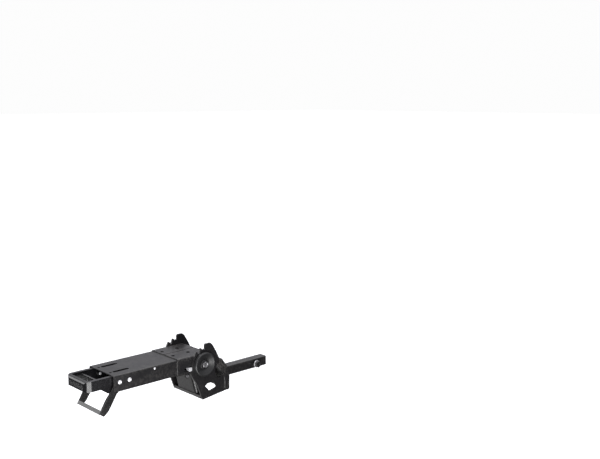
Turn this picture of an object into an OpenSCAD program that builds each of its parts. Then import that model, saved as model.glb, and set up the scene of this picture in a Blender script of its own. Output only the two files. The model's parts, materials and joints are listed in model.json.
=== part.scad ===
// Base of a receiver-hitch bike rack: a 1-1/4 in shank and a toothed tilt bracket,
// a box beam that folds up on a pivot bolt, a sliding lock bar, and a release handle.
// Row frame: origin at the hitch pin hole on the shank's axis, +Y into the vehicle,
// +X to the vehicle's right, +Z up. Millimetres.

/* [Shank] */
// Side of the square shank
shank_w = 31.75; // [31:0.25:32]
// Wall of the shank
shank_t = 4; // [3:0.5:5]
// Radius of the hitch pin hole
pin_hole_r = 6.75; // [6.6:0.05:7]
// Shank length past the pin hole, towards the vehicle
shank_tip = 50; // [40:5:80]

/* [Pivot] */
// Pin hole to tilt pivot, along Y
pivot_back = 257; // [250:1:270]
// Tilt pivot above the shank's axis
pivot_up = 68; // [66:1:70]
// Radius of the pivot bolt
pivot_r = 6; // [6:0.5:7]
// Running clearance of each moving bore, on the radius
run_gap = 0.06; // [0.03:0.01:0.1]

/* [Bracket] */
// Inner face of each side plate, from the middle
plate_x = 70; // [70:0.5:71]
// Side plate thickness
plate_t = 6; // [5:0.5:7]
// Thickness of the bent plates
bent_t = 5; // [4:0.5:5]
// Radius of the round caps over the pivot
cap_r = 37.5; // [36:0.5:38]
// Depth of the round caps
cap_t = 12; // [11:0.5:13]

/* [Beam] */
// Beam width
beam_w = 134; // [134:1:134]
// Beam height
beam_h = 50; // [50:1:50]
// Beam wall
beam_t = 3; // [2.5:0.5:3]
// Beam's rear end, behind the pivot
beam_end = 310; // [300:1:320]
// Sleeve wall around the beam's front
sleeve_t = 2.6; // [2.4:0.1:2.6]
// Sleeve's rear edge, behind the pivot
sleeve_back = 92; // [88:1:96]

/* [Tongue] */
// Half width of the tongue
tongue_x = 57; // [56:0.5:57]
// Tongue's end face, behind the pivot
tongue_end = 392; // [386:1:396]
// Thickness of the tongue's rim
tongue_rim = 11; // [10:0.5:12]

/* [Release] */
// Thickness of the handle's arms
arm_t = 3.5; // [3:0.5:3.5]
// Pull strap thickness
pull_t = 2; // [1.5:0.5:2]
// Link pin below the handle's pivot
link_drop = 17; // [17:0.5:17]
// Lock bar height
lock_h = 11; // [10:0.5:11]
// Lock bar depth
lock_d = 11; // [10:0.5:12]

/* [Hidden] */
$fn = 48;

steel = [0.10, 0.10, 0.11];
dark = [0.16, 0.16, 0.17];
zinc = [0.80, 0.81, 0.83];

// ---- heights and places measured from the tilt pivot ----
beam_bottom = -20;
beam_mid = beam_bottom + beam_h / 2;
beam_top = beam_bottom + beam_h;
beam_front = -72.5;
sleeve_front = 21;
bolt_z = 8.5;
guide_y = -57;
guide_z = -27.2;
handle_y = -291;
tongue_bolt_y = -259;
bolt_r = 4;
bolt_head_r = 6.3;
lock_y = -43.4;
lock_z = -2;
lock_reach = 75;
lock_travel = 12.6;
lock_rod_r = 4.5;
rod_y = lock_y - lock_d / 2;
rod_z = lock_z - lock_h / 2;
spring_end = -13.4;
seat_y = -43;
seat_z = -13.3;
tongue_top = 26.4;
link_z = bolt_z - link_drop;
arm_out = beam_w / 2 - beam_t - 0.7;
pull_in = tongue_x + 0.4;
shank_z = -pivot_up;
slot_ends = [-285.7, -244.7];
slot_w = 12;
hole_x = 29;
rear_hole_y = -80;
rear_hole_r = 5.5;

// Front edge of the side plates, top to bottom, where the yoke lies against them
front_edge = [[62.3, 2.6, 2], [81, -24, 4], [92, -53, 6], [91, -103, 4]];

// ---- helpers ----
// Pivot-centred coordinates to the row frame
module from_pivot() translate([0, -pivot_back, pivot_up]) children();

// Extrudes a (Y, Z) outline along X, from x0 to x1
module across(x0, x1)
    translate([x0, 0, 0]) rotate([90, 0, 90]) linear_extrude(height = x1 - x0) children();

// Extrudes an (X, Z) outline along Y, from y0 to y1
module along(y0, y1)
    translate([0, y1, 0]) rotate([90, 0, 0]) linear_extrude(height = y1 - y0) children();

// Both sides of the vertical middle plane
module both_sides() { children(); mirror([1, 0, 0]) children(); }

// A round bar along X
module x_rod(x0, x1, r) translate([x0, 0, 0]) rotate([0, 90, 0]) cylinder(h = x1 - x0, r = r);

// A hexagon along X, measured across its flats
module x_hex(x0, x1, flats)
    translate([x0, 0, 0]) rotate([0, 90, 0]) cylinder(h = x1 - x0, r = flats / sqrt(3), $fn = 6);

// Rectangle with round corners
module round_rect(w, h, r) {
    square([w - 2 * r, h], center = true);
    square([w, h - 2 * r], center = true);
    for (x = [-1, 1], y = [-1, 1]) translate([x * (w / 2 - r), y * (h / 2 - r)]) circle(r = r);
}

// Straight strip of width w from p to q, with round ends
module strip(p, q, w) {
    d = q - p;
    translate(p) rotate(atan2(d[1], d[0])) translate([0, -w / 2]) square([norm(d), w]);
    translate(p) circle(d = w);
    translate(q) circle(d = w);
}

// Arc points that round the corner b between a and c
function unit(v) = v / norm(v);
function corner(a, b, c, r, steps = 6) =
    r == 0 ? [b] :
    let (u = unit(a - b), v = unit(c - b), half = acos(u * v) / 2,
         m = b + unit(u + v) * r / sin(half), e = r / tan(half),
         s0 = b + u * e - m, s1 = b + v * e - m,
         a0 = atan2(s0[1], s0[0]), a1 = atan2(s1[1], s1[0]),
         turn = (a1 - a0 + 540) % 360 - 180)
    [for (i = [0 : steps]) m + r * [cos(a0 + turn * i / steps), sin(a0 + turn * i / steps)]];

// Polygon from rows of [y, z, corner radius]
module outline(rows) {
    n = len(rows);
    p = [for (q = rows) [q[0], q[1]]];
    polygon([for (i = [0 : n - 1])
        each corner(p[(i + n - 1) % n], p[i], p[(i + 1) % n], rows[i][2])]);
}

// Domed bolt head along +X, standing on x
module button_head(x, r, h)
    translate([x, 0, 0]) rotate([0, 90, 0]) rotate_extrude()
        polygon([[0, 0], [r, 0], [r, h * 0.4], [r * 0.9, h * 0.7], [r * 0.6, h * 0.95], [0, h]]);

// ---- hitch bracket ----
module receiver_shank() color(steel) difference() {
    along(-pivot_back + 85, shank_tip) difference() {
        round_rect(shank_w, shank_w, 3.5);
        round_rect(shank_w - 2 * shank_t, shank_w - 2 * shank_t, 1.5);
    }
    x_rod(-shank_w, shank_w, pin_hole_r);
}

// Captive threaded nut inside the shank's left wall
module shank_nut() color(zinc) difference() {
    x_hex(-shank_w / 2 + shank_t, -shank_w / 2 + shank_t + 10, 20);
    x_rod(-shank_w, shank_w, 6.35 + run_gap);
}

// Toothed side plate: lock seat, two stow notches, stop lobe, two windows
module side_plate() difference() {
    across(plate_x, plate_x + plate_t) difference() {
        outline([[seat_y, seat_z, 1], [-50, seat_z, 1.5], [-50, -17, 1], [-43, -34, 4],
            [-25, -61, 8], [-6, -113.5, 2.5], front_edge[3], front_edge[2], front_edge[1],
            front_edge[0], [51, 28, 20], [36, 54, 8], [28, 62, 5], [9, 62, 4], [6, 59, 1],
            [6, 46, 3], [-3, 46, 2.5], [-8, 51.5, 1.5], [-11.5, 50.5, 1], [-15, 35.5, 2.5],
            [-19.5, 35, 2.5], [-24, 44.5, 1.2], [-28, 42, 1], [-35, 28.5, 8], [-40.5, 17, 6],
            [-43, 4, 3]]);
        outline([[4, -71.5, 2], [15, -65, 2], [38, -66.5, 3], [50, -85, 3], [22, -92, 3]]);
        outline([[45, -24, 3], [51, -14, 3], [70, -38, 4], [70, -54, 4], [53, -56, 5], [44, -38, 5]]);
    }
    x_rod(plate_x - 1, plate_x + plate_t + 1, pivot_r);
}

module side_plate_right() color(steel) from_pivot() side_plate();
module side_plate_left() color(steel) from_pivot() mirror([1, 0, 0]) side_plate();

// Bent plate across the front: flanges lap the side plates, the web carries the shank
module front_yoke() color(steel) from_pivot() difference() {
    side = plate_x + plate_t;
    across(-side - bent_t, side + bent_t)
        outline([[66, 6, 2], [86, -22, 8], [97, -52, 10], [96, -102.5, 6], [82, -101, 4],
            [80.8, -56, 12], [50, -8, 3]]);
    across(-side, side)
        outline([each front_edge, [90.5, -113, 0], [60, -113, 0], [20, -20, 0], [46, 20, 0], [58, 8, 0]]);
    translate([0, 100, shank_z]) cube([shank_w, 60, shank_w], center = true);
}

// Rear channel: leaning web with short round-cornered returns, its top is the beam's stop
module rear_channel() color(steel) from_pivot() intersection() {
    lean = 14;
    translate([0, -30, -22]) rotate([lean, 0, 0]) translate([0, 0, -100])
        linear_extrude(height = 130) difference() {
            translate([0, 40]) round_rect(100, 80, 10);
            translate([0, 40 + bent_t]) round_rect(100 - 2 * bent_t, 80, 10 - bent_t);
            translate([-60, 28]) square([120, 60]);
        }
    across(-60, 60) polygon([[-60, -23], [-23, -23], [-12, -34], [60, -34], [60, -100.5], [-60, -100.5]]);
}

// Strip that joins the side plates under the channel
module bottom_tie() color(steel) from_pivot()
    across(-plate_x, plate_x)
        outline([[-10.6, -100.5, 0], [-6, -113.2, 2.5], [12, -111.3, 1], [12, -106.3, 1],
            [-1.5, -107.7, 1], [-5, -100.5, 0]]);

// Pivot bolt through plates and caps
module pivot_bolt() color(zinc) from_pivot() {
    x_rod(-plate_x - plate_t - cap_t - 1, plate_x + plate_t + 6, pivot_r);
    x_hex(plate_x + plate_t + 6, plate_x + plate_t + 12, 18);
}

module pivot_nut() color(zinc) from_pivot() difference() {
    x_hex(-plate_x - plate_t - 12, -plate_x - plate_t - 6, 18);
    x_rod(-100, 0, pivot_r);
}

module pivot_washers() color(zinc) from_pivot() both_sides() difference() {
    x_rod(plate_x + plate_t + 4, plate_x + plate_t + 6, 12);
    x_rod(0, 100, pivot_r);
}

// Dished round cap with a rolled rim
module pivot_cap() translate([plate_x + plate_t, 0, 0]) rotate([0, 90, 0]) rotate_extrude()
    outline([[pivot_r, 0, 0], [cap_r, 0, 1], [cap_r, cap_t - 1.5, 3], [33.5, cap_t, 3],
        [25, 8, 6], [17.5, 4, 3], [pivot_r, 4, 0]]);

module pivot_cap_right() color(dark) from_pivot() pivot_cap();
module pivot_cap_left() color(dark) from_pivot() mirror([1, 0, 0]) pivot_cap();

// ---- beam ----
// Box beam with tray slots, screw holes and the handle's clearance slots
module main_beam() color(steel) from_pivot() difference() {
    translate([0, 0, beam_mid]) along(-beam_end, beam_front) difference() {
        round_rect(beam_w, beam_h, 4);
        round_rect(beam_w - 2 * beam_t, beam_h - 2 * beam_t, 2);
    }
    both_sides() translate([32, 0, beam_top - 5]) {
        translate([0, -299.5, 0]) cylinder(h = 10, r = 4);
        linear_extrude(height = 10) strip([0, slot_ends[0]], [0, slot_ends[1]], slot_w);
    }
    both_sides() {
        translate([hole_x, rear_hole_y, beam_top - 5]) cylinder(h = 10, r = rear_hole_r);
        translate([0, handle_y, bolt_z]) x_rod(60, 70, bolt_r);
        translate([0, tongue_bolt_y, bolt_z]) x_rod(60, 70, bolt_r);
        translate([0, -172, 22]) x_rod(60, 70, 2);
        translate([58.8, -beam_end - 1, beam_bottom - 1]) cube([5.2, 31, 5]);
    }
}

// Outer section of the sleeve
module sleeve_outside() round_rect(beam_w + 2 * sleeve_t, beam_h + 2 * sleeve_t, 4 + sleeve_t);

// Sleeve around the beam's front, slotted for the lock bar and drilled on top
module pivot_sleeve() color(steel) from_pivot() difference() {
    slot_len = lock_d + lock_travel + 1;
    translate([0, 0, beam_mid]) along(-sleeve_back, sleeve_front) difference() {
        sleeve_outside();
        round_rect(beam_w, beam_h, 4);
    }
    both_sides() {
        translate([beam_w / 2 - 8, lock_y + 0.4 - slot_len, lock_z - lock_h - 0.5])
            cube([20, slot_len, lock_h + 1]);
        x_rod(beam_w / 2 - 1, beam_w, 11);
        translate([hole_x, rear_hole_y, beam_top - 1]) cylinder(h = 10, r = rear_hole_r);
        translate([hole_x, -24, beam_top - 1]) cylinder(h = 10, r = 6.5);
    }
    // shallow seam along the middle of the top
    translate([-1.5, -sleeve_back - 1, beam_top + sleeve_t - 1.2])
        cube([3, sleeve_back + sleeve_front + 2, 2]);
}

// Tabs welded under the sleeve's lower corners, which keep the lock bar's screws
module guide_tabs() color(steel) from_pivot() difference() {
    both_sides() across(beam_w / 2, beam_w / 2 + sleeve_t)
        outline([[-66, -12, 0], [-48, -12, 0], [-48, -29, 3], [-52, -34, 4], [-62, -34, 4], [-66, -29, 3]]);
    translate([0, 0, beam_mid]) along(-sleeve_back, sleeve_front) sleeve_outside();
    both_sides() translate([0, guide_y, guide_z]) x_rod(60, 80, 2);
}

// Spacer tube welded into the sleeve around the pivot bolt
module pivot_tube() color(steel) from_pivot() difference() {
    x_rod(-plate_x + 1.8, plate_x - 1.8, 11);
    x_rod(-plate_x, plate_x, 8.5);
}

// Flanged bushes pressed into the tube's ends
module pivot_bushes() color([0.85, 0.84, 0.78]) from_pivot() both_sides() difference() {
    union() {
        x_rod(plate_x - 24, plate_x - 1.8, 8.5);
        x_rod(plate_x - 1.8, plate_x - 0.4, 11);
    }
    x_rod(0, plate_x, pivot_r + run_gap);
}

// Plan outline of the tongue's rim, inset by d
module tongue_plan(d) {
    w = 2 * (tongue_x - d);
    translate([0, -tongue_end + d + 80]) round_rect(w, 160, 18 - d);
}

// Open-topped end frame; its legs run into the beam
module tongue_frame() color(steel) from_pivot() difference() {
    intersection() {
        translate([0, 0, -40]) linear_extrude(height = 80) difference() {
            tongue_plan(0);
            tongue_plan(tongue_rim);
        }
        across(-60, 60)
            outline([[-tongue_end, -4, 2], [-346, -4, 10], [-324, -20, 8], [-312, -20, 1],
                [-311, -16.5, 1], [-240, -16.5, 3], [-240, tongue_top, 3], [-tongue_end, tongue_top, 9]]);
    }
    translate([0, 0, -40]) linear_extrude(height = 40 + tongue_top - 5) intersection() {
        difference() { tongue_plan(3.5); tongue_plan(tongue_rim - 3); }
        translate([-60, -tongue_end]) square([120, tongue_end - beam_end - 8]);
    }
    for (y = [handle_y, tongue_bolt_y]) translate([0, y, bolt_z]) x_rod(-60, 60, bolt_r);
}

// Cross member of the tongue, with a small upright tab
module tongue_crossbar() color(steel) from_pivot() {
    in_x = tongue_x - tongue_rim;
    across(-in_x, in_x) outline([[-350, 1, 1], [-344, 1, 1], [-344, 21, 2], [-350, 21, 2]]);
    translate([-12, -373.5, 3]) cube([3, 23.5, 14]);
}

// One bolt from the beam's side through the tongue's leg
module side_bolt(y) translate([0, y, bolt_z]) {
    x_rod(tongue_x - tongue_rim - 8, beam_w / 2, bolt_r);
    button_head(beam_w / 2, bolt_head_r, 4);
}
module side_nut(y) translate([0, y, bolt_z]) difference() {
    x_hex(tongue_x - tongue_rim - 6.5, tongue_x - tongue_rim, 13);
    x_rod(0, 60, bolt_r);
}

module tongue_bolts() color(zinc) from_pivot() both_sides() side_bolt(tongue_bolt_y);
module tongue_nuts() color(zinc) from_pivot() both_sides() side_nut(tongue_bolt_y);
module handle_bolts() color(zinc) from_pivot() both_sides() side_bolt(handle_y);
module handle_nuts() color(zinc) from_pivot() both_sides() side_nut(handle_y);

// Spacers that fill the gap between the tongue and the beam's wall
module tongue_spacers() color(zinc) from_pivot() both_sides() translate([0, tongue_bolt_y, bolt_z])
    difference() {
        x_rod(tongue_x, beam_w / 2 - beam_t, 7);
        x_rod(tongue_x - 1, beam_w, bolt_r);
    }

// Small screws high on the beam's sides
module beam_screws() color(dark) from_pivot() both_sides() translate([0, -172, 22]) {
    x_rod(beam_w / 2 - 8, beam_w / 2, 2);
    button_head(beam_w / 2, 3.4, 1.6);
}

// Screws in the tabs under the lock bar
module guide_screws() color(zinc) from_pivot() both_sides() translate([0, guide_y, guide_z]) {
    x_rod(beam_w / 2 - 6, beam_w / 2 + sleeve_t, 2);
    x_hex(beam_w / 2 + sleeve_t, beam_w / 2 + sleeve_t + 4, 8);
    x_hex(beam_w / 2 - 3.2, beam_w / 2, 7);
}

// ---- lock ----
// Bar that drops into the plates' seats: a round middle and square blocks at its ends
module lock_bar() color(zinc) from_pivot() {
    translate([0, rod_y, rod_z]) x_rod(-62, 62, lock_rod_r);
    both_sides() across(beam_w / 2 - 6, lock_reach)
        outline([[lock_y, lock_z - lock_h, 1], [lock_y, lock_z, 1],
            [lock_y - lock_d, lock_z, 2], [lock_y - lock_d, lock_z - lock_h, 2]]);
}

// Coiled springs that hold the bar forward, from the bar to the pivot tube
module lock_springs() color(zinc) from_pivot() both_sides()
    translate([30, rod_y + lock_rod_r, rod_z]) rotate([-90, 0, 0]) difference() {
        spring_l = spring_end - rod_y - lock_rod_r;
        cylinder(h = spring_l, r = 4.5);
        translate([0, 0, -1]) cylinder(h = spring_l + 2, r = 3.2);
    }

// ---- release linkage ----
// Flat straps from the handle's link pins to the lock bar
module pull_straps() color(dark) from_pivot() both_sides() across(pull_in, pull_in + pull_t)
    difference() {
        z = link_z + 0.5;
        union() {
            strip([-296, z], [-60, z], 10);
            outline([[-304, -14, 4], [-281, -14, 4], [-281, 2.6, 4], [-304, 2.6, 4]]);
            outline([[-75, -16, 5], [-28, -16, 5], [-28, 2, 5], [-75, 2, 5]]);
        }
        // slot in which the link pin rises
        translate([handle_y, 0]) outline([[-3.5, link_z - 3.3, 2], [3.5, link_z - 3.3, 2],
            [3.5, link_z + 6.6, 2], [-3.5, link_z + 6.6, 2]]);
        // lost-motion eye around the lock bar
        outline([[-69, rod_z - 5, 4], [-33, rod_z - 5, 4], [-33, rod_z + 5, 4], [-69, rod_z + 5, 4]]);
    }

// Handle: two bent arms, joined at their lower ends by a strip that faces up and back
module release_handle() color(steel) from_pivot() difference() {
    strip_lean = 32;
    strip_face = 266.8;
    intersection() {
        union() {
            both_sides() across(arm_out - arm_t, arm_out)
                outline([[-299.4, -25.2, 8], [-284.5, -14.5, 6], [-280.5, 4, 8], [-281, 19, 8.5],
                    [-300.5, 19, 8.5], [-317, -13, 20], [-337, -38, 20], [-347.5, -55, 14],
                    [-352.5, -64, 3], [-357.5, -72, 1.5], [-343.5, -82.5, 3], [-328, -70, 10],
                    [-314, -49, 20]]);
            across(-arm_out + 1, arm_out - 1)
                outline([[-351.9, -63, 1], [-358, -72.8, 1], [-354.6, -74.9, 1], [-348.5, -65.1, 1]]);
        }
        // rounds the corners between the strip and the arms
        rotate([-strip_lean, 0, 0]) translate([0, 0, -400]) linear_extrude(height = 800)
            round_rect(2 * arm_out, 2 * strip_face, 5);
    }
    both_sides() {
        translate([0, handle_y, bolt_z]) x_rod(50, 70, bolt_r + run_gap);
        translate([0, handle_y, link_z]) x_rod(50, 70, 3);
    }
}

// Rivets that pull the straps
module link_pins() color(zinc) from_pivot() both_sides() translate([0, handle_y, link_z])
    x_rod(pull_in, arm_out, 3);

// ---- hitch bolt ----
module hitch_bolt() color(dark) {
    x_rod(-22, 28.5, 6.35);
    x_hex(28.5, 36.5, 19);
}

module hitch_washer() color(zinc) difference() {
    x_rod(25.5, 28.5, 12);
    x_rod(20, 40, 6.35);
}

receiver_shank();
shank_nut();
side_plate_left();
side_plate_right();
front_yoke();
rear_channel();
bottom_tie();
pivot_bolt();
pivot_nut();
pivot_washers();
pivot_cap_left();
pivot_cap_right();
main_beam();
pivot_sleeve();
guide_tabs();
pivot_tube();
pivot_bushes();
tongue_frame();
tongue_crossbar();
tongue_bolts();
tongue_nuts();
tongue_spacers();
handle_bolts();
handle_nuts();
beam_screws();
guide_screws();
lock_bar();
lock_springs();
pull_straps();
release_handle();
link_pins();
hitch_bolt();
hitch_washer();
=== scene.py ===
"""Looks of the folding hitch rack base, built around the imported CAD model. Metres, row frame:
origin at the hitch pin hole, +Y into the vehicle, +X to its right, +Z up."""

import json
import math
import random

import bpy
from mathutils import Matrix, Vector

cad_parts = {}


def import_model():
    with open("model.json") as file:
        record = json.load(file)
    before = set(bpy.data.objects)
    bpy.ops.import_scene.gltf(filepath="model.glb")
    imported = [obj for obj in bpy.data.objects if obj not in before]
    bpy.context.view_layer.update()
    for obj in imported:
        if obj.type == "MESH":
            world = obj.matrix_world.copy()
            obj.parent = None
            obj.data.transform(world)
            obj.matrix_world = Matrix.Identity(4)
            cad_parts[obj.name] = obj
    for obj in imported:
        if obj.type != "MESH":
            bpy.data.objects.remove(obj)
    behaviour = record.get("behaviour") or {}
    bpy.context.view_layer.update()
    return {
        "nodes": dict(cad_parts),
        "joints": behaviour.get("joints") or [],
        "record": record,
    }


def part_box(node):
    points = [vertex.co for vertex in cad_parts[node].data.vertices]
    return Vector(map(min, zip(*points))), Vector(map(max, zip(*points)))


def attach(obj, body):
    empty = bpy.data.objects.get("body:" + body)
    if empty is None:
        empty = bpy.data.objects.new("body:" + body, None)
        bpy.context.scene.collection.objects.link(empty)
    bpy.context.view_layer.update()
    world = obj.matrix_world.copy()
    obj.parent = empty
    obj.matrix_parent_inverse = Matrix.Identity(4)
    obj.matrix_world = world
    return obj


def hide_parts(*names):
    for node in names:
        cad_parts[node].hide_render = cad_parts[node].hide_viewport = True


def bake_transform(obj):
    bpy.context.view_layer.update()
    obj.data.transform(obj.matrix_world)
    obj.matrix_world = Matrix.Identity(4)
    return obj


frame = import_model()

MM = 0.001
RNG = random.Random(7)
JOINT = {j["name"]: j for j in frame["joints"]}
PIVOT = Vector(JOINT["tilt"]["pos_m"])


# ---------------------------------------------------------------- materials


class Graph:
    """A short way to write a material's node graph."""

    def __init__(self, name):
        self.material = bpy.data.materials.new(name)
        self.material.use_nodes = True
        self.tree = self.material.node_tree
        self.shader = self.tree.nodes["Principled BSDF"]
        self.place = self.node("ShaderNodeTexCoord").outputs["Object"]

    def node(self, kind, **values):
        """Makes a node; each value goes to the socket or the setting of that name."""
        made = self.tree.nodes.new(kind)
        for key, value in values.items():
            if key in made.inputs:
                made.inputs[key].default_value = value
            else:
                setattr(made, key, value)
        return made

    def link(self, source, target):
        """Joins an output to an input."""
        self.tree.links.new(source, target)

    def noise(self, scale, detail=3.0, rough=0.5, stretch=None):
        """Noise on object coordinates, with features about 1 / scale metres wide."""
        made = self.node("ShaderNodeTexNoise", Scale=scale, Detail=detail, Roughness=rough)
        source = self.place
        if stretch:
            mapping = self.node("ShaderNodeMapping", Scale=stretch)
            self.link(source, mapping.inputs["Vector"])
            source = mapping.outputs["Vector"]
        self.link(source, made.inputs["Vector"])
        return made.outputs["Fac"]

    def ramp(self, source, low, high, a=(0, 0, 0, 1), b=(1, 1, 1, 1)):
        """Colour a below low, b above high."""
        made = self.node("ShaderNodeValToRGB")
        made.color_ramp.elements[0].position = low
        made.color_ramp.elements[1].position = high
        made.color_ramp.elements[0].color = a
        made.color_ramp.elements[1].color = b
        self.link(source, made.inputs["Fac"])
        return made.outputs["Color"]

    def mix(self, factor, a, b):
        """Colour mix; a and b are colours or sockets."""
        made = self.node("ShaderNodeMix", data_type="RGBA")
        self.link(factor, made.inputs["Factor"])
        for index, value in ((6, a), (7, b)):
            if isinstance(value, tuple):
                made.inputs[index].default_value = value
            else:
                self.link(value, made.inputs[index])
        return made.outputs[2]

    def multiply(self, a, b):
        """Product of two numbers or sockets."""
        made = self.node("ShaderNodeMath", operation="MULTIPLY")
        for index, value in enumerate((a, b)):
            if isinstance(value, (int, float)):
                made.inputs[index].default_value = value
            else:
                self.link(value, made.inputs[index])
        return made.outputs[0]

    def span(self, source, low, high):
        """Maps 0..1 to low..high."""
        made = self.node("ShaderNodeMapRange")
        made.inputs["To Min"].default_value = low
        made.inputs["To Max"].default_value = high
        self.link(source, made.inputs["Value"])
        return made.outputs["Result"]

    def bump(self, source, strength, distance, after=None):
        """Raises the surface by a height socket, on top of an earlier bump."""
        made = self.node("ShaderNodeBump", Strength=strength, Distance=distance)
        self.link(source, made.inputs["Height"])
        if after is not None:
            self.link(after, made.inputs["Normal"])
        return made.outputs["Normal"]

    def edges(self, low, high):
        """Bright on convex edges: a mask for chipped edges that also paints an edge highlight."""
        geometry = self.node("ShaderNodeNewGeometry")
        return self.ramp(geometry.outputs["Pointiness"], low, high)

    def upward(self):
        """1 on faces that look up."""
        geometry = self.node("ShaderNodeNewGeometry")
        split = self.node("ShaderNodeSeparateXYZ")
        self.link(geometry.outputs["Normal"], split.inputs["Vector"])
        return self.ramp(split.outputs["Z"], 0.55, 0.95)

    def finish(self, colour=None, roughness=None, normal=None, **constant):
        """Links the graph to the shader and sets its constant sockets."""
        inputs = self.shader.inputs
        for socket, value in (("Base Color", colour), ("Roughness", roughness), ("Normal", normal)):
            if value is not None:
                self.link(value, inputs[socket])
        for key, value in constant.items():
            inputs[key.replace("_", " ")].default_value = value
        return self.material


def coated(name, black, edge_colour_wear_and_highlight, rough, peel=0.25, dust=0.10, edge_wear_and_highlight=0.5):
    """Black powder coat: orange peel, clouded gloss, fine dust on top, paler edges that are chipped paint
    and a painted edge highlight.
    """
    g = Graph(name)
    grain = 650.0
    clouds = g.noise(9.0, 4.0, 0.6)
    speck = g.noise(grain * 2.2, 2.0)
    base = g.mix(clouds, black, tuple(min(1, c * 1.6) for c in black[:3]) + (1,))
    settled = g.multiply(g.upward(), g.ramp(g.noise(46.0, 6.0, 0.7), 0.42, 0.85))
    dusty = g.mix(g.multiply(settled, dust), base, (0.30, 0.28, 0.26, 1))
    # Paler convex edges broken up by noise: chipped paint and a painted edge highlight.
    chips_and_edge_highlight = g.multiply(g.edges(0.515, 0.60), g.ramp(g.noise(160.0, 5.0, 0.75), 0.46, 0.62))
    colour = g.mix(g.multiply(chips_and_edge_highlight, edge_wear_and_highlight), dusty, edge_colour_wear_and_highlight)
    scuffs = g.ramp(g.noise(35.0, 5.0, 0.65, (1.0, 0.12, 1.6)), 0.50, 0.72)
    gloss = g.span(g.mix(g.multiply(scuffs, 0.6), clouds, (0.95, 0.95, 0.95, 1)), rough[0], rough[1])
    skin = g.bump(g.noise(grain, 3.0, 0.55), peel, 0.00025)
    skin = g.bump(speck, peel * 0.4, 0.0001, skin)
    return g.finish(colour, gloss, skin, Specular_IOR_Level=0.5)


def plated(name, bright, dull, rough, brushed=(1.0, 1.0, 1.0), metallic=0.85):
    """Zinc plate or plain steel: cloudy spangle, fine lines, dull spots."""
    g = Graph(name)
    clouds = g.noise(120.0, 4.0, 0.6)
    spots = g.ramp(g.noise(420.0, 5.0, 0.7), 0.55, 0.75)
    colour = g.mix(g.multiply(spots, 0.5), g.mix(clouds, dull, bright), dull)
    lines = g.noise(900.0, 2.0, 0.5, brushed)
    gloss = g.span(g.mix(spots, lines, (0.9, 0.9, 0.9, 1)), rough[0], rough[1])
    skin = g.bump(lines, 0.18, 0.00012)
    return g.finish(colour, gloss, skin, Metallic=metallic)


def moulded(name, colour_a, colour_b, rough, edge_wear_and_highlight=0.35):
    """Moulded plastic: spark-eroded grain, a paler rim that is scuffing and a painted edge highlight."""
    g = Graph(name)
    grain, strength = 1400.0, 0.35
    clouds = g.noise(18.0, 4.0, 0.6)
    base = g.mix(clouds, colour_a, colour_b)
    # Paler convex rim broken up by noise: scuffing and a painted edge highlight.
    rubbed_and_edge_highlight = g.multiply(g.edges(0.51, 0.58), g.ramp(g.noise(90.0, 5.0, 0.7), 0.4, 0.66))
    colour = g.mix(g.multiply(rubbed_and_edge_highlight, edge_wear_and_highlight), base, (0.20, 0.20, 0.20, 1))
    gloss = g.span(g.noise(60.0, 4.0, 0.6), rough[0], rough[1])
    skin = g.bump(g.noise(grain, 2.0, 0.5), strength, 0.00015)
    return g.finish(colour, gloss, skin)


LOOKS = {
    "powder_coat": coated("powder_coat", (0.005, 0.0047, 0.0053, 1), (0.16, 0.15, 0.14, 1), (0.24, 0.40)),
    "tongue_black": coated("tongue_black", (0.005, 0.0048, 0.0055, 1), (0.08, 0.08, 0.085, 1),
                           (0.14, 0.24), peel=0.12, dust=0.12),
    "handle_black": coated("handle_black", (0.004, 0.0038, 0.0038, 1), (0.06, 0.06, 0.06, 1),
                           (0.20, 0.34), peel=0.2, edge_wear_and_highlight=0.15),
    "cap_black": moulded("cap_black", (0.006, 0.006, 0.0065, 1), (0.011, 0.011, 0.0115, 1), (0.38, 0.50)),
    "zinc": plated("zinc", (0.88, 0.88, 0.90, 1), (0.66, 0.66, 0.68, 1), (0.26, 0.46), metallic=0.55),
    "bolt_steel": plated("bolt_steel", (0.34, 0.34, 0.36, 1), (0.17, 0.165, 0.16, 1), (0.28, 0.48)),
    "strap_steel": plated("strap_steel", (0.42, 0.42, 0.43, 1), (0.24, 0.23, 0.22, 1), (0.30, 0.52),
                          (1.0, 0.08, 1.0)),
    "black_screw": plated("black_screw", (0.060, 0.060, 0.064, 1), (0.030, 0.029, 0.028, 1), (0.32, 0.5)),
    "nylon": moulded("nylon", (0.74, 0.71, 0.63, 1), (0.66, 0.63, 0.55, 1), (0.38, 0.5), edge_wear_and_highlight=0.1),
}

# ---------------------------------------------------------------- CAD nodes: finish and soft edges

EDGE = {  # bevel width in mm; the rest take EDGE_DEFAULT
    "main_beam": 0.9, "pivot_sleeve": 1.1, "tongue_frame": 1.2, "tongue_crossbar": 0.6,
    "front_yoke": 0.9, "rear_channel": 0.8, "side_plate_left": 0.7, "side_plate_right": 0.7,
    "receiver_shank": 0.6, "release_handle": 0.6, "bottom_tie": 0.6, "lock_bar": 0.5,
}
EDGE_DEFAULT = 0.25
SHARP = math.radians(28)


def soften(obj, width):
    """Joins the split vertices, clears flat seams and rounds the sharp edges."""
    weld = obj.modifiers.new("join", "WELD")
    weld.merge_threshold = 2e-6
    flat = obj.modifiers.new("flat", "DECIMATE")
    flat.decimate_type = "DISSOLVE"
    flat.angle_limit = math.radians(0.6)
    bevel = obj.modifiers.new("edge", "BEVEL")
    bevel.width = width * MM
    bevel.segments = 2
    bevel.limit_method = "ANGLE"
    bevel.angle_limit = SHARP
    bevel.use_clamp_overlap = True
    bevel.harden_normals = False
    normals = obj.modifiers.new("normals", "WEIGHTED_NORMAL")
    normals.keep_sharp = True
    normals.weight = 60


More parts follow.
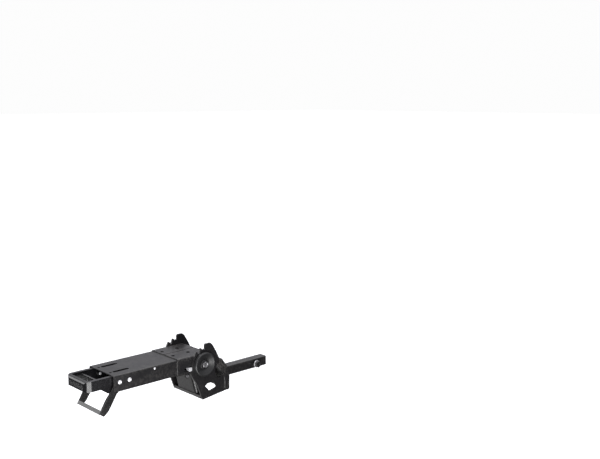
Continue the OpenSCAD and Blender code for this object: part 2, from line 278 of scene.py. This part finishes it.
for part in frame["record"]["subparts"]:
    node = frame["nodes"][part["node"]]
    node.data.materials.clear()
    node.data.materials.append(LOOKS[part["material_slot"]])
    soften(node, EDGE.get(part["node"], EDGE_DEFAULT))

# ---------------------------------------------------------------- mesh helpers


def piece(name, shape, body, slot, stands_for=(), smooth=True):
    """Makes a mesh piece from a shape, gives it a look and a body to ride on."""
    mesh = bpy.data.meshes.new(name)
    mesh.from_pydata([tuple(v) for v in shape.verts], [], shape.faces)
    mesh.validate()
    mesh.update()
    if smooth:
        mesh.shade_smooth()
    obj = bpy.data.objects.new(name, mesh)
    bpy.context.scene.collection.objects.link(obj)
    mesh.materials.append(LOOKS[slot])
    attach(obj, body)
    if stands_for:
        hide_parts(*stands_for)
    return obj


class Shape:
    """Collects points and faces of several closed solids."""

    def __init__(self):
        self.verts, self.faces = [], []

    def add(self, verts, faces, place=None):
        """Adds one solid, carried to its place."""
        base = len(self.verts)
        points = [Vector(v) for v in verts]
        self.verts += [place @ v for v in points] if place is not None else points
        self.faces += [tuple(i + base for i in f) for f in faces]
        return self

    def rings(self, rings, place=None, capped=True):
        """Skins a row of equal rings, and caps both of its ends."""
        n = len(rings[0])
        verts = [p for ring in rings for p in ring]
        faces = []
        for i in range(len(rings) - 1):
            j = i + 1
            faces += [(i * n + k, i * n + (k + 1) % n, j * n + (k + 1) % n, j * n + k) for k in range(n)]
        if capped:
            faces.append(tuple(reversed(range(n))))
            faces.append(tuple((len(rings) - 1) * n + k for k in range(n)))
        return self.add(verts, faces, place)


def along_x(x, y, z, flip=False):
    """Carries a local +Z axis to +X (or -X) at a point."""
    turn = Matrix.Rotation(math.radians(-90 if flip else 90), 4, "Y")
    return Matrix.Translation((x, y, z)) @ turn


def circle(radius, z, n=48):
    """A round ring at height z."""
    return [(radius * math.cos(2 * math.pi * k / n), radius * math.sin(2 * math.pi * k / n), z)
            for k in range(n)]


HEAD_POINTS = 72  # points in each ring of a bolt head or nut, a multiple of 12


def hexagon(flats, z, limit):
    """A hexagonal ring whose corners are cut at radius limit."""
    n = HEAD_POINTS
    ring = []
    for k in range(n):
        a = 2 * math.pi * k / n
        side = (a % (math.pi / 3)) - math.pi / 6
        ring.append(min(flats / 2 / math.cos(side), limit))
    return [(r * math.cos(2 * math.pi * k / n), r * math.sin(2 * math.pi * k / n), z)
            for k, r in enumerate(ring)]


def hex_head(flats, height, both=False, dish=0.0):
    """Rings of a hex standing on z = 0, chamfered on top or at both ends, with a forged dish."""
    corner = flats / math.sqrt(3)
    cone = flats / 2 * 0.965  # where the chamfer's cone meets the end face
    width = corner - flats / 2 * 0.97
    drop = width * 0.28 * 2.2
    full = corner * 1.001
    steps = [(0.0, cone), (0.35, cone + width * 0.35), (0.7, cone + width * 0.7), (1.0, full)]
    rings = []
    if both:
        rings += [hexagon(flats, s * drop, r) for s, r in steps]
    else:
        rings.append(hexagon(flats, 0.0, full))
    rings += [hexagon(flats, height - s * drop, r) for s, r in reversed(steps)]
    if dish:
        rings += [circle(flats * share, height - dish * deep, HEAD_POINTS)
                  for share, deep in ((0.36, 0.0), (0.33, 0.25), (0.30, 0.8), (0.26, 1.0), (0.08, 0.85))]
    return rings


def threaded(radius, length, pitch, n=36):
    """Rings of a threaded rod: the crest climbs round the rod, and the last turn tapers."""
    per_turn = 8
    depth = 0.55 * pitch
    taper = 0.35 * pitch
    count = max(2, int(length / pitch * per_turn))
    rings = []
    for i in range(count + 1):
        z = length * i / count
        left = (length - z) / pitch
        ring = []
        for k in range(n):
            a = 2 * math.pi * k / n
            phase = (z / pitch - a / (2 * math.pi)) % 1.0
            wave = abs(2 * phase - 1)
            fade = min(1.0, left, z / pitch + 0.2)
            r = radius - depth * wave * max(0.0, fade) - taper * (1 - min(1, left))
            ring.append((r * math.cos(a), r * math.sin(a), z))
        rings.append(ring)
    return rings


# ---------------------------------------------------------------- fasteners


SIDE_BOLT_R = 4.0 * MM
SIDE_NUT_FLATS = 13 * MM
SIDE_NUT_T = 6.5 * MM


def button_head(shape, place):
    """Domed head with a hex socket."""
    n = HEAD_POINTS
    r, h = 6.3 * MM, 4.0 * MM
    skirt = 0.9 * MM
    flat_top = 0.42
    socket, socket_depth = 4.0 * MM, 2.2 * MM
    rings = [circle(r * 0.97, 0.0, n), circle(r, 0.35 * MM, n), circle(r, skirt, n)]
    for step in range(1, 9):
        a = math.radians(step * 9.5)
        out = r * (flat_top + (1 - flat_top) * math.cos(a))
        rings.append(circle(out, skirt + (h - skirt) * math.sin(a), n))
    rings.append(hexagon(socket, h, socket))
    rings.append(hexagon(socket, h - socket_depth, socket))
    rings.append(circle(0.3 * MM, h - socket_depth - 0.4 * MM, n))
    shape.rings(rings, place)


def side_bolts(name, node, nuts):
    """The pair of side bolts of one CAD node; their threads stand past the nuts."""
    low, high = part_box(node)
    mid = (low + high) / 2
    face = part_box("main_beam")[1].x
    past_nut, pitch = 1.5 * MM, 1.25 * MM
    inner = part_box(nuts)[1].x - SIDE_NUT_T - past_nut
    shape = Shape()
    for flip in (False, True):
        x = -face if flip else face
        button_head(shape, along_x(x, mid.y, mid.z, flip))
        rod = threaded(SIDE_BOLT_R, face - inner, pitch)
        shape.rings(rod, along_x(x, mid.y, mid.z, not flip))
    return piece(name, shape, "beam", "zinc", (node,))


def side_nuts(name, node):
    """Chamfered hex nuts on the side bolts."""
    low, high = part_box(node)
    mid = (low + high) / 2
    shape = Shape()
    for flip in (False, True):
        x = -high.x if flip else high.x
        shape.rings(hex_head(SIDE_NUT_FLATS, SIDE_NUT_T, both=True), along_x(x, mid.y, mid.z, not flip))
    return piece(name, shape, "beam", "black_screw", (node,), smooth=False)


side_bolts("tongue_bolts_button", "tongue_bolts", "tongue_nuts")
side_bolts("handle_bolts_button", "handle_bolts", "handle_nuts")
side_nuts("tongue_nuts_hex", "tongue_nuts")
side_nuts("handle_nuts_hex", "handle_nuts")


def smooth_by_angle(obj):
    """Keeps flats flat and rounds round by marking sharp edges."""
    obj.data.set_sharp_from_angle(angle=math.radians(30))


def hex_bolt(name, node, body, slot, flats, head, radius, pitch, thread):
    """A hex bolt along X: head at the node's +X end, thread at its other end."""
    low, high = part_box(node)
    mid = (low + high) / 2
    under = high.x - head
    shape = Shape()
    shape.rings(hex_head(flats, head, dish=1.1 * MM), along_x(under, mid.y, mid.z))
    plain = [circle(radius, 0.0), circle(radius, under - low.x - thread)]
    shape.rings(plain, along_x(under, mid.y, mid.z, True))
    shape.rings(threaded(radius, thread, pitch, 48), along_x(low.x + thread, mid.y, mid.z, True))
    smooth_by_angle(piece(name, shape, body, slot, (node,)))


hex_bolt("hitch_bolt_hex", "hitch_bolt", "hitch_bolt", "black_screw",
         flats=19 * MM, head=8 * MM, radius=6.35 * MM, pitch=1.95 * MM, thread=22 * MM)
hex_bolt("pivot_bolt_hex", "pivot_bolt", "hitch_bracket", "bolt_steel",
         flats=18 * MM, head=6 * MM, radius=6.0 * MM, pitch=1.75 * MM, thread=20 * MM)


def pivot_nut():
    """Chamfered nut on the pivot bolt."""
    low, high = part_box("pivot_nut")
    mid = (low + high) / 2
    flats = 18 * MM
    shape = Shape()
    shape.rings(hex_head(flats, high.x - low.x, both=True), along_x(high.x, mid.y, mid.z, True))
    made = piece("pivot_nut_hex", shape, "hitch_bracket", "bolt_steel", ("pivot_nut",))
    smooth_by_angle(made)


pivot_nut()


def cap_hubs():
    """Raised ring round the washer in the middle of each cap."""
    low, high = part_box("pivot_washers")
    inner = (high.z - low.z) / 2 + 0.3 * MM
    cap_floor = 4.0 * MM
    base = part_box("side_plate_right")[1].x + cap_floor
    profile = [(0.0, 0.0), (0.0, 3.2), (0.4, 3.9), (1.2, 4.3), (2.2, 4.3), (3.0, 3.8), (3.6, 2.6),
               (4.4, 0.0)]
    shape = Shape()
    for flip in (False, True):
        rings = [circle(inner + out * MM, up * MM, 96) for out, up in profile]
        rings.append(rings[0])
        shape.rings(rings, along_x(-base if flip else base, PIVOT.y, PIVOT.z, flip), capped=False)
    made = piece("pivot_cap_hubs", shape, "hitch_bracket", "cap_black")
    smooth_by_angle(made)


cap_hubs()


def lock_washer():
    """Split spring washer under the hitch bolt's head."""
    low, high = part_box("hitch_washer")
    mid = (low + high) / 2
    outer, inner = (high.y - low.y) / 2, 6.6 * MM
    thick = (high.x - low.x) * 0.62
    gap = math.radians(9)
    steps = 64
    rings = []
    for i in range(steps + 1):
        a = gap / 2 + (2 * math.pi - gap) * i / steps
        z = (high.x - low.x - thick) * i / steps
        c, s = math.cos(a), math.sin(a)
        rings.append([(inner * c, inner * s, z), (outer * c, outer * s, z),
                      (outer * c, outer * s, z + thick), (inner * c, inner * s, z + thick)])
    shape = Shape().rings(rings, along_x(low.x, mid.y, mid.z))
    made = piece("hitch_washer_split", shape, "hitch_bolt", "zinc", ("hitch_washer",))
    smooth_by_angle(made)


lock_washer()

# ---------------------------------------------------------------- springs


def coil_springs():
    """Coiled lock springs from the lock bar to the pivot tube."""
    low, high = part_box("lock_springs")
    wire, radius = 0.7 * MM, 3.7 * MM
    turns, per_turn, around = 13, 18, 8
    count = turns * per_turn
    margin = 1.0 * MM
    length = high.y - low.y - 2 * margin
    tube_r = (high.z - low.z) / 2
    z = (low.z + high.z) / 2
    shape = Shape()
    for side in (-1, 1):
        x = side * (high.x - tube_r)
        rings = []
        for i in range(count + 1):
            t = i / count
            a = 2 * math.pi * turns * t
            out = Vector((math.cos(a), 0, math.sin(a)))
            point = Vector((x, low.y + margin + length * t, z)) + radius * out
            rings.append([point + wire * (math.cos(b) * out + math.sin(b) * Vector((0, 1, 0)))
                          for b in (2 * math.pi * k / around for k in range(around))])
        shape.rings(rings)
    mesh = bpy.data.meshes.new("lock_springs_coil")
    mesh.from_pydata([tuple(v) for v in shape.verts], [], shape.faces)
    mesh.shade_smooth()
    mesh.materials.append(LOOKS["zinc"])
    obj = bpy.data.objects.new("lock_springs_coil", mesh)
    bpy.context.scene.collection.objects.link(obj)
    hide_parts("lock_springs")
    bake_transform(obj)


coil_springs()

# ---------------------------------------------------------------- welds


def bead(shape, points, radius, ripple=1.1 * MM):
    """A rippled weld bead along a polyline, thin at both ends."""
    around = 8
    path = [Vector(p) for p in points]
    fine = []
    for a, b in zip(path, path[1:]):
        steps = max(1, int((b - a).length / (ripple / 2)))
        fine += [a.lerp(b, i / steps) for i in range(steps)]
    fine.append(path[-1])
    last = len(fine) - 1
    rings = []
    for i, p in enumerate(fine):
        run = (fine[min(i + 1, last)] - fine[max(i - 1, 0)]).normalized()
        side = run.orthogonal().normalized()
        up = run.cross(side)
        swell = 1.0 + (0.10 if i % 2 else -0.06) + RNG.uniform(-0.07, 0.07)
        if i in (0, last):
            swell *= 0.45
        r = radius * swell
        rings.append([p + r * (math.cos(a) * side + math.sin(a) * up)
                      for a in (2 * math.pi * k / around for k in range(around))])
    for i in range(1, len(rings)):  # keeps each ring's first point in line with the one before
        first = rings[i - 1][0]
        turn = min(range(around), key=lambda k: (rings[i][k] - first).length)
        rings[i] = rings[i][turn:] + rings[i][:turn]
    shape.rings(rings)


def at(x, y, z):
    """A point in mm from the tilt pivot, on the middle plane's axes."""
    return Vector((x * MM, PIVOT.y + y * MM, PIVOT.z + z * MM))


def shank_welds(shape):
    """Four heavy beads where the square shank meets the yoke's web."""
    low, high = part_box("receiver_shank")
    half = (high.x - low.x) / 2 / MM
    mid = ((low.z + high.z) / 2 - PIVOT.z) / MM
    web_top = (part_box("front_yoke")[1].y - PIVOT.y) / MM
    web_low = web_top - 0.3
    radius, off, short = 2.6 * MM, half + 0.8, half - 2
    bead(shape, [at(-short, web_top, mid + off), at(short, web_top, mid + off)], radius)
    bead(shape, [at(off, web_top, mid + short), at(off, web_low, mid - short)], radius)
    bead(shape, [at(-off, web_top, mid + short), at(-off, web_low, mid - short)], radius)
    bead(shape, [at(-short, web_low, mid - off), at(short, web_low, mid - off)], radius)


def bracket_welds():
    """Beads that join the bracket's plates, as (y, z) ends in mm from the pivot."""
    plate_low, plate_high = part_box("side_plate_right")
    outside = plate_high.x / MM + 0.4
    inside = plate_low.x / MM - 0.4
    flange_upper = ((51.6, -10.6), (78.6, -52.6))
    flange_lower = ((80.9, -60), (81.8, -96))
    tie_end = ((-10.2, -101.5), (-7.0, -110.5))
    channel_foot, channel_half = (-11.0, -100.6), 42
    shape = Shape()
    shank_welds(shape)
    beads = ((outside, flange_upper, 1.3), (outside, flange_lower, 1.3), (inside, tie_end, 1.6))
    for side in (-1, 1):
        for x, ends, radius in beads:
            bead(shape, [at(side * x, *end) for end in ends], radius * MM)
    bead(shape, [at(-channel_half, *channel_foot), at(channel_half, *channel_foot)], 1.5 * MM)
    return piece("bracket_welds", shape, "hitch_bracket", "powder_coat")


def beam_welds():
    """Bead behind the sleeve, down both sides of the beam and across its bottom."""
    beam_low, beam_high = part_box("main_beam")
    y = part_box("pivot_sleeve")[0].y - 0.4 * MM
    off = 0.5 * MM
    w, top, bottom = beam_high.x + off, beam_high.z + off, beam_low.z - off
    cut = 3.2 * MM
    path = [(w, y, top - cut), (w, y, bottom + cut), (w - cut, y, bottom), (-w + cut, y, bottom),
            (-w, y, bottom + cut), (-w, y, top - cut)]
    shape = Shape()
    bead(shape, path, 1.15 * MM, ripple=1.4 * MM)
    return piece("beam_welds", shape, "beam", "powder_coat")


bracket_welds()
beam_welds()

# ---------------------------------------------------------------- tongue details


def tongue_ribs():
    """A plain row of upright grip ribs on the tongue's end face."""
    low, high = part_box("tongue_frame")
    face, top, bottom = low.y, high.z - 9.8 * MM, high.z - 26.5 * MM
    count, reach = 17, 36 * MM
    half, proud, root = 0.9 * MM, 0.7 * MM, 0.15 * MM
    profile = [(-half, root), (-half * 0.55, -proud * 0.8), (0, -proud), (half * 0.55, -proud * 0.8),
               (half, root)]
    levels = [(bottom, 0.25), (bottom + 0.8 * MM, 0.85), (bottom + 2 * MM, 1.0), (top - 2 * MM, 1.0),
              (top - 0.8 * MM, 0.85), (top, 0.25)]
    shape = Shape()
    for i in range(count):
        x = -reach + 2 * reach * i / (count - 1)
        rings = []
        for z, size in levels:
            narrow = 0.6 + 0.4 * size
            rings.append([(x + px * narrow, face + (py * size if py < 0 else py), z) for px, py in profile])
        shape.rings(rings)
    return piece("tongue_end_ribs", shape, "beam", "tongue_black")


tongue_ribs()

# ---------------------------------------------------------------- stage, light, camera


def floor():
    """A wide pale floor, which the object's own reflections leave out."""
    reach, height = 60.0, -0.45
    mesh = bpy.data.meshes.new("floor")
    mesh.from_pydata([(-reach, -reach, height), (reach, -reach, height), (reach, reach, height),
                      (-reach, reach, height)], [], [(0, 1, 2, 3)])
    g = Graph("floor_paint")
    paint = g.mix(g.noise(0.6, 3.0), (0.90, 0.90, 0.91, 1), (0.93, 0.93, 0.93, 1))
    mesh.materials.append(g.finish(paint, Roughness=0.9, Specular_IOR_Level=0.0))
    made = bpy.data.objects.new("floor", mesh)
    bpy.context.scene.collection.objects.link(made)
    made.visible_glossy = False
    made.visible_diffuse = False
    made.visible_shadow = False


def area(name, place, aim, size, power):
    """A rectangular light that the camera doesn't see."""
    light = bpy.data.lights.new(name, "AREA")
    light.shape = "RECTANGLE"
    light.size, light.size_y = size
    light.energy = power
    obj = bpy.data.objects.new(name, light)
    bpy.context.scene.collection.objects.link(obj)
    obj.location = place
    obj.rotation_euler = (Vector(aim) - Vector(place)).to_track_quat("-Z", "Y").to_euler()
    obj.visible_camera = False


BELOW = ((0.0, (0.05, 0.05, 0.05, 1)), (0.48, (0.10, 0.10, 0.105, 1)))
SKY = ((0.53, (0.42, 0.42, 0.45, 1)), (0.75, (0.62, 0.62, 0.66, 1)), (0.90, (2.2, 2.2, 2.25, 1)),
       (1.0, (2.6, 2.6, 2.65, 1)))
BACKGROUND = (0.98, 0.98, 0.98, 1)


def world():
    """White to the eye; to the object a bright sky over a dark studio, as heights from 0 to 1."""
    made = bpy.data.worlds.new("studio")
    made.use_nodes = True
    tree = made.node_tree
    place = tree.nodes.new("ShaderNodeTexCoord").outputs["Generated"]
    split = tree.nodes.new("ShaderNodeSeparateXYZ")
    height = tree.nodes.new("ShaderNodeMapRange")
    height.inputs["From Min"].default_value = -1.0
    height.inputs["From Max"].default_value = 1.0
    ramp = tree.nodes.new("ShaderNodeValToRGB")
    steps = ramp.color_ramp.elements
    steps[0].position, steps[0].color = BELOW[0]
    steps[1].position, steps[1].color = BELOW[1]
    for at_height, colour in SKY:
        steps.new(at_height).color = colour
    tree.links.new(place, split.inputs["Vector"])
    tree.links.new(split.outputs["Z"], height.inputs["Value"])
    tree.links.new(height.outputs["Result"], ramp.inputs["Fac"])
    seen = tree.nodes.new("ShaderNodeLightPath").outputs["Is Camera Ray"]
    choose = tree.nodes.new("ShaderNodeMix")
    choose.data_type = "RGBA"
    tree.links.new(seen, choose.inputs["Factor"])
    tree.links.new(ramp.outputs["Color"], choose.inputs[6])
    choose.inputs[7].default_value = BACKGROUND
    tree.links.new(choose.outputs[2], tree.nodes["Background"].inputs["Color"])
    bpy.context.scene.world = made


def camera():
    """The photographer's place: 46.4 degrees round and 8.8 degrees down."""
    data = bpy.data.cameras.new("camera")
    data.lens, data.sensor_width = 51.3, 36.0
    obj = bpy.data.objects.new("camera", data)
    bpy.context.scene.collection.objects.link(obj)
    obj.location = (2.114, -1.789, 0.878)
    obj.rotation_euler = (math.radians(90 - 8.8), 0.0, math.radians(46.4))
    bpy.context.scene.camera = obj


floor()
world()
area("low_front", (1.10, -1.05, -0.45), (0.05, -0.6, 0.0), (1.9, 0.45), 25)
area("low_near", (0.55, -0.60, -0.42), (0.05, -0.28, 0.0), (0.4, 0.3), 2.4)
area("low_far", (-0.50, -0.38, -0.34), (0, -0.28, -0.03), (0.7, 0.45), 0.6)
area("back_left", (-1.20, -1.35, 0.38), (0, -0.6, 0.0), (0.8, 0.6), 4.5)
camera()
bpy.context.scene.view_settings.view_transform = "Standard"
